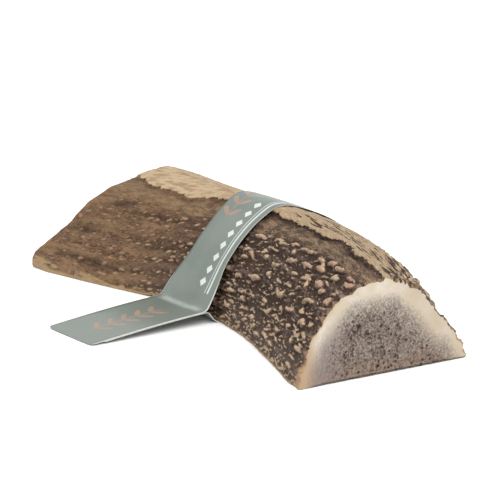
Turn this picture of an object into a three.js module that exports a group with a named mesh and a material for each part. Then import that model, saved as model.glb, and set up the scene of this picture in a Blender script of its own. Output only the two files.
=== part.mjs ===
// A length of red deer antler, split lengthwise and sawn across at both ends, with a strip of
// thin card wrapped round it. Millimetres, +Z up. The beam runs along X with its sawn near end
// at +X, its hollow (front) side faces -Y, and the card's tab lies on the ground in front.
import * as THREE from 'three';
import { mergeVertices } from 'three/addons/utils/BufferGeometryUtils.js';

// ---------- driving dimensions ----------

const cardThickness = 0.25;
const touchGap = 0.3;
const splitFaceHeight = cardThickness + touchGap;

// Slices through the beam, evenly numbered from the sawn near end to the sawn far end. Each is an
// upright plane that stands on the split face between a front and a back foot point. Its crest is
// the share of the way back at which it is highest. Its bulges (front flank, back flank) are 2 on
// a round flank and 1 on a flat one.
const slices = [
  { front: [80.5, -52.0], back: [85.4, -12.3], crest: 0.5, height: 19.5, bulges: [1.8, 1.3] },
  { front: [62.0, -44.4], back: [71.1, -4.3], crest: 0.45, height: 20.0, bulges: [1.95, 1.25] },
  { front: [43.0, -38.2], back: [56.7, 3.3], crest: 0.4, height: 20.5, bulges: [1.95, 1.4] },
  { front: [22.0, -36.6], back: [41.1, 8.2], crest: 0.38, height: 20.8, bulges: [1.5, 1.4] },
  { front: [1.0, -41.1], back: [24.2, 10.9], crest: 0.41, height: 20.9, bulges: [1.38, 1.35] },
  { front: [-19.9, -45.5], back: [7.1, 12.8], crest: 0.47, height: 20.7, bulges: [1.35, 1.3] },
];
const flankSteps = 44;
const footSteps = 12;
const beamSteps = 48;
const endCentreHeight = 8;

// The card strip passes through stripCentre at the beam's front foot. Its bearing is measured from
// +Y towards +X. The tab is folded off at the crease on a bearing of its own, and its end is cut a
// little askew, so that it is longer on one side.
const stripWidth = 15.4;
const stripCentre = new THREE.Vector2(29.3, -35.2);
const stripBearing = THREE.MathUtils.degToRad(-1.5);
const tabBearing = THREE.MathUtils.degToRad(2.5);
const creaseReach = 3.2;
const creaseHeight = 2.4;
const tabLength = 26.4;
const tabSkew = 1.7;
const tabEndHeight = 0.7;
const layerSpacing = cardThickness + touchGap;
const stripStepsAcross = 4;
const wrapSteps = 56;
const underSteps = 12;
const tabSteps = 12;

// Past the front foot the lower layer climbs to the tab through these (distance, height) points.
const lowerLayerBend = [
  [-0.5, 0.275],
  [-1.2, 0.8],
  [-2, 1.6],
];

// ---------- the beam's shape ----------

const curveThrough = (points) => new THREE.CatmullRomCurve3(points, false, 'catmullrom', 0.5);
const frontFoot = curveThrough(slices.map((slice) => new THREE.Vector3(...slice.front, 0)));
const backFoot = curveThrough(slices.map((slice) => new THREE.Vector3(...slice.back, 0)));
const crestLine = curveThrough(
  slices.map((slice) => new THREE.Vector3(slice.crest, slice.height, 0)),
);
const bulgeLine = curveThrough(slices.map((slice) => new THREE.Vector3(...slice.bulges, 0)));

function sliceAt(along) {
  const front = frontFoot.getPoint(along);
  const across = backFoot.getPoint(along).sub(front);
  const width = across.length();
  const crest = crestLine.getPoint(along);
  const bulges = bulgeLine.getPoint(along);
  return {
    front,
    across: across.normalize(),
    width,
    crest: crest.x * width,
    height: crest.y,
    frontBulge: bulges.x,
    backBulge: bulges.y,
  };
}

// Points of one slice's curved outline, from the back foot over the crest to the front foot:
// x is the distance back from the front foot and y the height over the split face.
function flankOutline(slice) {
  const roughSteps = 40;
  const outline = [];
  for (let step = 0; step <= roughSteps; step += 1) {
    const angle = (Math.PI * step) / roughSteps;
    const isBack = Math.cos(angle) > 0;
    const power = 2 / (isBack ? slice.backBulge : slice.frontBulge);
    const reach = isBack ? slice.width - slice.crest : slice.crest;
    const sideways = Math.sign(Math.cos(angle)) * Math.abs(Math.cos(angle)) ** power;
    const upwards = Math.max(Math.sin(angle), 0) ** power;
    outline.push(new THREE.Vector3(slice.crest + reach * sideways, slice.height * upwards, 0));
  }
  return new THREE.CatmullRomCurve3(outline, false, 'centripetal').getSpacedPoints(flankSteps);
}

function placeInSlice(slice, across, height) {
  const point = slice.front.clone().addScaledVector(slice.across, across);
  return point.setZ(splitFaceHeight + height);
}

// Closed ring of one slice: over the bark from the back foot to the front foot, then straight
// back along the split face.
function sliceRing(slice) {
  const ring = flankOutline(slice).map((point) =>
    placeInSlice(slice, point.x, Math.max(point.y, 0)),
  );
  for (let step = 1; step < footSteps; step += 1) {
    ring.push(placeInSlice(slice, (slice.width * step) / footSteps, 0));
  }
  return ring;
}

function closedSurface(geometry) {
  geometry.deleteAttribute('normal');
  geometry.deleteAttribute('uv');
  const merged = mergeVertices(geometry, 1e-4);
  merged.computeVertexNormals();
  return merged;
}

// The beam starts as a plain cylinder standing along Y. Each of its rings becomes a slice, and
// the centres of its two end discs become the middles of the sawn ends.
function beamGeometry() {
  const around = flankSteps + footSteps;
  const geometry = new THREE.CylinderGeometry(1, 1, 1, around, beamSteps);
  const positions = geometry.getAttribute('position');
  const rings = [];
  const slicesAlong = [];
  for (let step = 0; step <= beamSteps; step += 1) {
    slicesAlong.push(sliceAt(step / beamSteps));
    rings.push(sliceRing(slicesAlong[step]));
  }
  const start = new THREE.Vector3();
  for (let index = 0; index < positions.count; index += 1) {
    start.fromBufferAttribute(positions, index);
    const step = Math.round((0.5 - start.y) * beamSteps);
    const slice = slicesAlong[step];
    const turn = Math.atan2(start.x, start.z) / (2 * Math.PI);
    const place = (Math.round(turn * around) + around) % around;
    const isCentre = Math.hypot(start.x, start.z) < 0.5;
    const endCentre = placeInSlice(slice, slice.crest, endCentreHeight);
    const point = isCentre ? endCentre : rings[step][place];
    positions.setXYZ(index, point.x, point.y, point.z);
  }
  return closedSurface(geometry);
}

// ---------- the card strip's route ----------

// Halves the span between two values until it closes on the place where isFirstSide changes.
function bisect(first, second, isFirstSide) {
  let low = first;
  let high = second;
  for (let round = 0; round < 30; round += 1) {
    const half = (low + high) / 2;
    if (isFirstSide(half)) low = half;
    else high = half;
  }
  return high;
}

// Height of the bark over the ground at a place in plan, or NaN beside the beam.
function barkHeight(place) {
  const along = bisect(0, 1, (share) => {
    const { front, across } = sliceAt(share);
    return across.x * (place.y - front.y) > across.y * (place.x - front.x);
  });
  const slice = sliceAt(along);
  const { front, across } = slice;
  const back = (place.x - front.x) * across.x + (place.y - front.y) * across.y;
  const isBack = back > slice.crest;
  const reach = isBack ? slice.width - slice.crest : slice.crest;
  const share = Math.abs(back - slice.crest) / reach;
  const power = isBack ? slice.backBulge : slice.frontBulge;
  return splitFaceHeight + slice.height * (1 - share ** power) ** (1 / power);
}

// How far the card's middle line keeps off the bark, and how far aside of the strip's centre the
// search for the beam's two feet starts and ends.
const cardClearance = touchGap + cardThickness / 2;
const beamMiddle = 22;
const farAside = 60;

const heading = (bearing) => new THREE.Vector2(Math.sin(bearing), Math.cos(bearing));

// Plan place at a distance along the strip (from the beam's front foot) and across it.
function stripPlace(distance, sideways) {
  const along = heading(stripBearing);
  const across = new THREE.Vector2(along.y, -along.x);
  return stripCentre.clone().addScaledVector(along, distance).addScaledVector(across, sideways);
}

// The same with the tab turned off at the crease.
function cardPlace(distance, sideways, creaseDistance) {
  const onTab = Math.min(distance - creaseDistance, 0);
  return stripPlace(distance - onTab, sideways).addScaledVector(heading(tabBearing), onTab);
}

// Distance along the strip at which one foot of the beam is crossed, between an outer place
// beside the beam and an inner place on it.
function footCrossing(outer, inner, sideways) {
  return bisect(outer, inner, (distance) =>
    Number.isNaN(barkHeight(stripPlace(distance, sideways))),
  );
}

// The card is pulled straight across hollows, so its route is the upper hull of the places that
// it has to clear.
function upperHull(points) {
  const hull = [];
  for (const point of points) {
    while (hull.length > 1) {
      const [before, last] = hull.slice(-2);
      const edge = last.clone().sub(before);
      if (edge.cross(point.clone().sub(before)) < 0) break;
      hull.pop();
    }
    hull.push(point);
  }
  return hull;
}

// The card's route over the bark, from the crease to the back foot, at one place across the strip.
function routeOver(sideways, crease, front, back) {
  const barkSteps = 40;
  const bark = [];
  for (let step = 0; step <= barkSteps; step += 1) {
    const swing = Math.cos((Math.PI * step) / barkSteps);
    const distance = (front + back) / 2 - ((back - front) / 2) * swing;
    const height = barkHeight(stripPlace(distance, sideways)) || splitFaceHeight;
    bark.push(new THREE.Vector2(distance, height));
  }
  const lifted = [crease];
  for (let step = 1; step < barkSteps; step += 1) {
    const slope = bark[step + 1].clone().sub(bark[step - 1]).normalize();
    const outward = new THREE.Vector2(-slope.y, slope.x);
    const point = bark[step].clone().addScaledVector(outward, cardClearance);
    if (point.x > lifted[lifted.length - 1].x) lifted.push(point);
  }
  lifted.push(new THREE.Vector2(back + cardClearance, splitFaceHeight));
  const hull = upperHull(lifted).map((point) => new THREE.Vector3(point.x, point.y, 0));
  return new THREE.CatmullRomCurve3(hull, false, 'centripetal').getSpacedPoints(wrapSteps);
}

// Middle line of the card at one place across the strip, as (distance, height) points: in along
// the upper layer of the tab, over the beam, back under it, and out along the lower layer.
function cardRoute(sideways) {
  const front = footCrossing(-farAside, beamMiddle, sideways);
  const back = footCrossing(farAside, beamMiddle, sideways);
  const crease = new THREE.Vector2(front - creaseReach, creaseHeight);
  const reach = tabLength - (tabSkew * sideways) / stripWidth;
  const tabPoint = (share) => {
    const rise = (creaseHeight - tabEndHeight) * Math.sin((share * Math.PI) / 2);
    return new THREE.Vector2(crease.x - reach * (1 - share), tabEndHeight + rise);
  };

  const points = [];
  for (let step = 0; step < tabSteps; step += 1) {
    points.push(tabPoint(step / tabSteps));
  }
  for (const place of routeOver(sideways, crease, front, back)) {
    points.push(new THREE.Vector2(place.x, place.y));
  }
  for (const turn of [30, 60, 90]) {
    const angle = THREE.MathUtils.degToRad(turn);
    const drop = cardClearance * Math.sin(angle);
    points.push(new THREE.Vector2(back + cardClearance * Math.cos(angle), splitFaceHeight - drop));
  }
  for (let step = 1; step <= underSteps; step += 1) {
    const distance = back + ((front - back) * step) / underSteps;
    points.push(new THREE.Vector2(distance, cardThickness / 2));
  }
  for (const [distance, height] of lowerLayerBend) {
    points.push(new THREE.Vector2(front + distance, height));
  }
  for (let step = tabSteps; step >= 0; step -= 1) {
    const upper = tabPoint(step / tabSteps);
    points.push(new THREE.Vector2(upper.x, upper.y - layerSpacing));
  }
  return { points, creaseDistance: crease.x };
}

// One face of the card: its middle line moved half the thickness to one side.
function cardFace(route, side) {
  return route.map((point, index) => {
    const before = route[Math.max(index - 1, 0)];
    const after = route[Math.min(index + 1, route.length - 1)];
    const slope = after.clone().sub(before).normalize();
    const outward = new THREE.Vector2(-slope.y, slope.x);
    return point.clone().addScaledVector(outward, (side * cardThickness) / 2);
  });
}

// The strip starts as a long flat box: its length (X) follows the card's route, its height (Y) is
// the thickness of the card and its depth (Z) the width of the strip.
function stripGeometry() {
  const faces = [];
  for (let step = 0; step <= stripStepsAcross; step += 1) {
    const sideways = stripWidth * (step / stripStepsAcross - 0.5);
    const { points, creaseDistance } = cardRoute(sideways);
    const inner = cardFace(points, -1);
    const outer = cardFace(points, 1);
    faces.push({ sideways, creaseDistance, inner, outer });
  }
  const routeSteps = faces[0].inner.length - 1;
  const geometry = new THREE.BoxGeometry(1, 1, 1, routeSteps, 1, stripStepsAcross);
  const positions = geometry.getAttribute('position');
  for (let index = 0; index < positions.count; index += 1) {
    const along = Math.round((positions.getX(index) + 0.5) * routeSteps);
    const across = Math.round((positions.getZ(index) + 0.5) * stripStepsAcross);
    const { sideways, creaseDistance, inner, outer } = faces[across];
    const point = positions.getY(index) > 0 ? outer[along] : inner[along];
    const place = cardPlace(point.x, sideways, creaseDistance);
    positions.setXYZ(index, place.x, place.y, point.y);
  }
  return closedSurface(geometry);
}

// ---------- the assembled part ----------

const antlerMaterial = new THREE.MeshStandardMaterial({ color: 0x6b5442, roughness: 0.7 });
const antler = new THREE.Mesh(beamGeometry(), antlerMaterial);
antler.name = 'antler';

const cardMaterial = new THREE.MeshStandardMaterial({ color: 0x84918a, roughness: 0.55 });
const label = new THREE.Mesh(stripGeometry(), cardMaterial);
label.name = 'label';

const part = new THREE.Group();
part.add(antler, label);

// The origin is the middle of the part's footprint, on the ground.
const bounds = new THREE.Box3().setFromObject(part);
const middle = bounds.getCenter(new THREE.Vector3());
part.position.set(-middle.x, -middle.y, -bounds.min.z);

export default part;
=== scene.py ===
# %% [markdown]
# # A split antler piece with a card label
#
# The object is a length of red deer antler, about 105 mm long. It is split lengthwise, so it lies
# on a flat face, and it is sawn across at both ends. A strip of thin sage green card is wrapped
# once round it, and the strip's two ends lie together on the ground as a tab.
#
# The measured model is loaded first and stays fixed. Its two solids, the antler and the label,
# are smooth stand-ins, so each is replaced here by a detailed mesh that fills the same space.
# Shapes are worked out in millimetres and become metres when the meshes are made.

# %% Load the measured model
import math

import bpy
import numpy as np
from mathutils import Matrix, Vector
from mathutils.geometry import delaunay_2d_cdt


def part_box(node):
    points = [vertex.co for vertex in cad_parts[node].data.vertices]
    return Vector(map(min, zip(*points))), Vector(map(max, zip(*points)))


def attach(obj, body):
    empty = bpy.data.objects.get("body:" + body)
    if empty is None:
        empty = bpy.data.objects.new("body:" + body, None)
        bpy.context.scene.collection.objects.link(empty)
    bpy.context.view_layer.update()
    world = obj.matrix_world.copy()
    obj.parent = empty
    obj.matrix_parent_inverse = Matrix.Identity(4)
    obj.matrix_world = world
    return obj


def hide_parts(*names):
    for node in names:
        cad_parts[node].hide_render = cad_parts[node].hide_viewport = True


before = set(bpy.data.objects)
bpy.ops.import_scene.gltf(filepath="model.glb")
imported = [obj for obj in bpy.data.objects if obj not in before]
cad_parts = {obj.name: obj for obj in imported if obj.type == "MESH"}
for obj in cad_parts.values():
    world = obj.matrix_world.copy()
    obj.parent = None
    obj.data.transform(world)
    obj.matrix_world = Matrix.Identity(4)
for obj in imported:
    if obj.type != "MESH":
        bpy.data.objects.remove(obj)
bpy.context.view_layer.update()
MM = 0.001

# %% [markdown]
# ## Where the drawing lies in the model
#
# The beam is drawn as six upright slices, in a frame of its own that was handy for measuring. The
# numbers could be typed in the model's frame instead, but one shift is easier to keep right. It is
# found from the box of the antler's solid, so the detailed mesh and the solid can't drift apart.

# %% Slices of the beam
SLICES = np.array([
    # near sawn end first: front foot x, y, back foot x, y, crest, height, front bulge, back bulge
    (80.5, -52.0, 85.4, -12.3, 0.50, 19.5, 1.80, 1.30),
    (62.0, -44.4, 71.1, -4.3, 0.45, 20.0, 1.95, 1.25),
    (43.0, -38.2, 56.7, 3.3, 0.40, 20.5, 1.95, 1.40),
    (22.0, -36.6, 41.1, 8.2, 0.38, 20.8, 1.50, 1.40),
    (1.0, -41.1, 24.2, 10.9, 0.41, 20.9, 1.38, 1.35),
    (-19.9, -45.5, 7.1, 12.8, 0.47, 20.7, 1.35, 1.30),
])
NEAR_HEIGHT = SLICES[0, 5]
low, high = (np.array(corner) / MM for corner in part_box("antler"))
SHIFT = np.array([
    high[0] - SLICES[0, 2],
    low[1] - SLICES[0, 1],
    low[2],
])
# the split face lies this far above the ground, because the card passes under it
FLAT = low[2]
print("shift of the drawing (mm):", np.round(SHIFT, 2), "height of the split face:", round(FLAT, 2))

# %% [markdown]
# ## Camera
#
# The piece is seen from a low three-quarter angle with its sawn end in front. A camera could be
# placed by hand, but two angles and a distance round the point it aims at can each be set alone. A
# long lens from 60 cm keeps the far end almost as large as the near one, as in a studio close-up.

# %% Camera
VIEW_AZIMUTH = math.radians(52.0)
VIEW_ELEVATION = math.radians(16.0)
VIEW_DISTANCE = 0.600
LENS_MM = 192.67
AIM = Vector((-0.03275, 0.02713, FLAT * MM))

camera_data = bpy.data.cameras.new("camera")
camera_data.lens = LENS_MM
camera_data.sensor_width = 36.0
camera_data.clip_start = 0.05
camera = bpy.data.objects.new("camera", camera_data)
bpy.context.scene.collection.objects.link(camera)
towards_camera = Vector((
    math.sin(VIEW_AZIMUTH) * math.cos(VIEW_ELEVATION),
    -math.cos(VIEW_AZIMUTH) * math.cos(VIEW_ELEVATION),
    math.sin(VIEW_ELEVATION),
))
camera.location = AIM + towards_camera * VIEW_DISTANCE
camera.rotation_mode = "QUATERNION"
camera.rotation_quaternion = (-towards_camera).to_track_quat("-Z", "Y")
bpy.context.scene.camera = camera
print("camera at", [round(value, 3) for value in camera.location])

# %% [markdown]
# ## Floor and light
#
# Product sets are lit by large soft boxes over a white table. Several area lamps could copy them,
# but a bright even surround and one broad lamp overhead give the same soft, almost shadowless
# light with far less to set. The lamp is a sun with a wide disc, so the floor stays equally
# bright from every side.

# %% Floor and light
LAMP_DIRECTION = Vector((0.52, -0.29, 0.80))
SURROUND_STRENGTH = 1.08
LAMP_STRENGTH = 2.2


def paint(code, alpha=1.0):
    """A screen colour such as "6b5a45" as the linear numbers that a shader takes."""
    parts = [int(code[start:start + 2], 16) / 255 for start in (0, 2, 4)]
    linear = [part / 12.92 if part <= 0.04045 else ((part + 0.055) / 1.055) ** 2.4 for part in parts]
    return (*linear, alpha)


scene = bpy.context.scene
scene.view_settings.view_transform = "Standard"

world = bpy.data.worlds.new("surround")
world.use_nodes = True
surround = world.node_tree.nodes["Background"]
surround.inputs["Color"].default_value = paint("fbfcfd")
surround.inputs["Strength"].default_value = SURROUND_STRENGTH
scene.world = world

lamp_data = bpy.data.lights.new("overhead", "SUN")
lamp_data.energy = LAMP_STRENGTH
lamp_data.angle = math.radians(52)
lamp = bpy.data.objects.new("overhead", lamp_data)
lamp.rotation_mode = "QUATERNION"
lamp.rotation_quaternion = LAMP_DIRECTION.to_track_quat("Z", "Y")
scene.collection.objects.link(lamp)

bpy.ops.mesh.primitive_plane_add(size=8.0, location=(0, 0, 0))
floor = bpy.context.object
floor.name = "floor"
floor_paint = bpy.data.materials.new("white_table")
floor_paint.use_nodes = True
floor_shader = floor_paint.node_tree.nodes["Principled BSDF"]
floor_shader.inputs["Base Color"].default_value = paint("f9f9f8")
floor_shader.inputs["Roughness"].default_value = 0.75
floor.data.materials.append(floor_paint)
print("floor and light ready")

# %% [markdown]
# ## Curves and noise
#
# Antler is grown, so nothing on it is straight or even. Modifiers with noise textures could shake
# it, but then the colours wouldn't know where the bumps are. Here the noise is worked out on the
# whole grid with numpy, so shape and colour share it: a smooth curve through a few hand-set
# values, and seeded random hills that come out the same on every run.

# %% Curve and noise helpers
HILL_TABLE = 256


def curve_through(rows, at):
    """Smooth curve through evenly numbered rows of values, read at shares from 0 to 1."""
    rows = np.asarray(rows, float)
    spans = len(rows) - 1
    rows = np.vstack([2 * rows[0] - rows[1], rows, 2 * rows[-1] - rows[-2]])
    place = np.clip(np.asarray(at) * spans, 0, spans - 1e-9)
    index = place.astype(int)
    part = (place - index)[:, None]
    before, first, second, after = (rows[index + step] for step in range(4))
    slope_in, slope_out = (second - before) / 2, (after - first) / 2
    return (
        first + slope_in * part
        + (3 * (second - first) - 2 * slope_in - slope_out) * part**2
        + (2 * (first - second) + slope_in + slope_out) * part**3
    )


def hills(x, y, seed):
    """Smooth random hills between 0 and 1, about one to each unit of x and y."""
    table = np.random.default_rng(seed).random((HILL_TABLE, HILL_TABLE))
    column, row = np.floor(x).astype(int), np.floor(y).astype(int)
    right, up = x - column, y - row
    right, up = right * right * (3 - 2 * right), up * up * (3 - 2 * up)

    def corner(step_x, step_y):
        return table[(column + step_x) % HILL_TABLE, (row + step_y) % HILL_TABLE]

    lower = corner(0, 0) * (1 - right) + corner(1, 0) * right
    upper = corner(0, 1) * (1 - right) + corner(1, 1) * right
    return lower * (1 - up) + upper * up


def rough_hills(x, y, seed, layers=3):
    """Hills with smaller hills on them, still between 0 and 1."""
    total, weight, sum_of_weights = 0.0, 1.0, 0.0
    for layer in range(layers):
        total = total + weight * hills(x * 2**layer + 7.3 * layer, y * 2**layer, seed + layer)
        sum_of_weights += weight
        weight *= 0.5
    return total / sum_of_weights


def ease(value, low_end, high_end):
    """0 at low_end, 1 at high_end and a smooth rise between; the ends may be the other way round."""
    part = np.clip((value - low_end) / (high_end - low_end), 0, 1)
    return part * part * (3 - 2 * part)


sample = hills(np.arange(99) / 3, np.arange(99) / 5, 1)
print("hills reach", np.round([sample.min(), sample.max()], 2))

# %% [markdown]
# ## The beam's body
#
# A beam of antler could be swept along one curve, but this one changes its width, its crest and
# the roundness of its flanks along its length. So it is lofted: every slice is an upright plane
# on the split face, with its own foot points and its own bulges. The skin is a fine grid, one
# line per slice and one column per step round the bark, close enough to carry every bead.

# %% The grid of the bark
ALONG = 344
AROUND = 260
OUTLINE_STEPS = 400
share_along = np.linspace(0, 1, ALONG + 1)
slices = curve_through(SLICES, share_along)
front_foot, back_foot = slices[:, 0:2], slices[:, 2:4]
width = np.linalg.norm(back_foot - front_foot, axis=1)
inward = (back_foot - front_foot) / width[:, None]
share_around = np.linspace(0, 1, AROUND + 1)


def slice_outline(line, swell):
    """(back, up) points of one slice from the front foot over the crest to the back foot, spaced
    evenly, and the length of that outline in mm."""
    crest, height, front_bulge, back_bulge = slices[line, 4:8]
    angle = np.linspace(0, math.pi, OUTLINE_STEPS)
    is_front = np.cos(angle) > 0
    power = 2 / np.where(is_front, front_bulge, back_bulge)
    reach = width[line] * np.where(is_front, crest, 1 - crest)
    back = crest * width[line] - np.sign(np.cos(angle)) * reach * np.abs(np.cos(angle)) ** power
    up = height * np.sin(angle) ** power
    up[-1] = 0.0
    length = np.concatenate([[0], np.cumsum(np.hypot(np.diff(back), np.diff(up)))])
    back = np.interp(share_around * length[-1], length, back)
    up = np.interp(share_around * length[-1], length, up)
    slope_back, slope_up = np.gradient(back), np.gradient(up)
    scale = np.hypot(slope_back, slope_up)
    push = swell(line)
    lift = np.where(up > 0, slope_back / scale * push, 0)
    return back - slope_up / scale * push, np.maximum(up + lift, 0), length[-1]


print("the grid has", ALONG + 1, "lines and", AROUND + 1, "columns")

# %% [markdown]
# Two places leave the smooth body. The near sawn end has a shoulder at the back and is a little
# hollow at the crest, and the far end runs out in a flat toe. More slices could hold that, but a
# table is easier to set: how far the outline swells, in millimetres, by the share of the way
# round. Each swelling fades along the beam.

# %% Swellings at the two ends
NEAR_SWELL = np.array([
    (0.00, 0.0), (0.03, -0.4), (0.07, -0.8), (0.10, -0.7), (0.15, 0.15), (0.23, -0.15),
    (0.31, 0.45), (0.36, 0.05), (0.43, -0.35), (0.50, -0.55), (0.57, -0.35), (0.63, 0.45),
    (0.69, 1.15), (0.74, 0.35), (0.80, 0.12), (0.87, 0.3), (0.92, 0.1), (0.97, 0.3), (1.00, 0.0),
])
FAR_SWELL = np.array([
    (0.000, 0.4), (0.019, 0.93), (0.038, 1.12), (0.058, 0.91), (0.077, 0.5), (0.12, 0.05),
    (0.17, 0.0), (0.20, 0.5), (0.24, 1.1), (0.29, 1.15), (0.34, 0.95), (0.40, 0.55), (0.48, 0.3),
    (0.60, 0.1), (1.0, 0.0),
])
NEAR_SWELL_FADES = 14.0
FAR_SWELL_FADES = 24.0
middle_line = (front_foot + back_foot) / 2
step_lengths = np.linalg.norm(np.diff(middle_line, axis=0), axis=1)
along = np.concatenate([[0], np.cumsum(step_lengths)])
LENGTH = along[-1]


def end_swell(line):
    """Swelling of one slice's outline in mm."""
    near = np.interp(share_around, NEAR_SWELL[:, 0], NEAR_SWELL[:, 1])
    far = np.interp(share_around, FAR_SWELL[:, 0], FAR_SWELL[:, 1])
    near_fade = 1 - ease(along[line], 0.0, NEAR_SWELL_FADES)
    far_fade = 1 - ease(LENGTH - along[line], 0.0, FAR_SWELL_FADES)
    return near * near_fade + far * far_fade


outlines = [slice_outline(line, end_swell) for line in range(ALONG + 1)]
back_in = np.array([outline[0] for outline in outlines])
up_in = np.array([outline[1] for outline in outlines])
girth = np.array([outline[2] for outline in outlines])
body = np.zeros((ALONG + 1, AROUND + 1, 3))
body[..., 0] = front_foot[:, 0, None] + inward[:, 0, None] * back_in
body[..., 1] = front_foot[:, 1, None] + inward[:, 1, None] * back_in
body[..., 2] = up_in
# every grid point's own place: mm along from the near end, and mm round from the front foot
x_mm = np.repeat(along[:, None], AROUND + 1, axis=1)
y_mm = girth[:, None] * share_around
print("beam", round(LENGTH, 1), "mm along,", np.round([girth[0], girth[-1]], 1), "mm round the bark")

# %% [markdown]
# ## Zones of the bark
#
# Walking round the bark from the front foot, there is first a broad field of pearls, then a
# smoother olive stripe, a dark furrow, and then the pale ridge where the antler rubbed bare. The
# back flank is pearled again. The zones could be painted by hand. Here each is a number from 0 to
# 1 at every grid point, because the relief and the colours both need it. The borders are smooth
# curves along the beam, shaken by hills until they are ragged.

# %% Borders of the zones
def border(points):
    """Height round the bark (mm) of a border that passes through (along, round) points."""
    points = np.array(points, float)
    return np.interp(along, points[:, 0], points[:, 1])[:, None]


pearl_top = border([
    (0, 25.3), (8.6, 25.4), (18.6, 24.0), (28.6, 22.8), (38.6, 21.3), (48.6, 20.6), (64.6, 20.5),
    (78.6, 21.5), (93.6, 22.5),
])
furrow = border([
    (0, 30.4), (8.6, 30.2), (18.6, 29.8), (26.6, 28.3), (33.6, 27.1), (43.6, 26.9), (50.6, 26.0),
    (64.6, 25.8), (73.6, 26.0), (78.6, 26.5), (84.6, 27.8), (93.6, 30.0),
])
ridge_back = border([
    (0, 36.5), (8.6, 38.5), (18.6, 41.0), (30.6, 44.0), (48.6, 46.0), (68.6, 47.0), (93.6, 49.0),
])
print("the stripe is", np.round([(furrow - pearl_top).min(), (furrow - pearl_top).max()], 1), "mm wide")

# %% Zones as numbers on the grid
# the borders are less ragged on the far part, which is more worn
ragged = (1.1 - 0.5 * ease(x_mm, 46, 66)) * (rough_hills(x_mm / 1.3, y_mm / 2.5, 11) - 0.5)
ragged = ragged + 1.6 * (hills(x_mm / 7, y_mm / 5, 12) - 0.5)
teeth = 0.9 * (hills(x_mm / 0.75, y_mm / 3.0, 13) - 0.5)
past_furrow = y_mm - furrow + ragged + teeth
ridge = ease(past_furrow, 0.1, 0.8) * (1 - ease(y_mm - ridge_back + 1.6 * ragged, -0.6, 0.9))
stripe = ease(y_mm - pearl_top + 0.9 * ragged, -0.6, 0.6) * (1 - ease(past_furrow, -0.9, 0.0))
in_pearls = (1 - ridge) * (1 - stripe)
furrow_depth = np.exp(-(((y_mm - furrow + 0.65 + 0.8 * ragged) / 0.42) ** 2))
furrow_depth *= 0.20 + 0.80 * ease(hills(x_mm / 3.5, y_mm / 6, 14), 0.25, 0.65)
far_part = ease(x_mm, 50, 74)
up_the_stripe = np.clip((y_mm - pearl_top) / (furrow - pearl_top), 0, 1)
print("ridge covers", round(float(ridge.mean()) * 100), "% of the bark")

# %% [markdown]
# ## Pearls
#
# Pearls are the rough beads of a stag's antler. On this piece they are lumpy, two to four
# millimetres long and drawn out along the beam, with worn pale tops on dark bark. They could be
# separate stones set on the skin, but real ones grow out of it, so they are domes on the grid.
# The largest are set one by one, because the eye reads them as the pattern of this piece. Smaller
# ones are scattered between them by a seeded draw.

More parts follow.
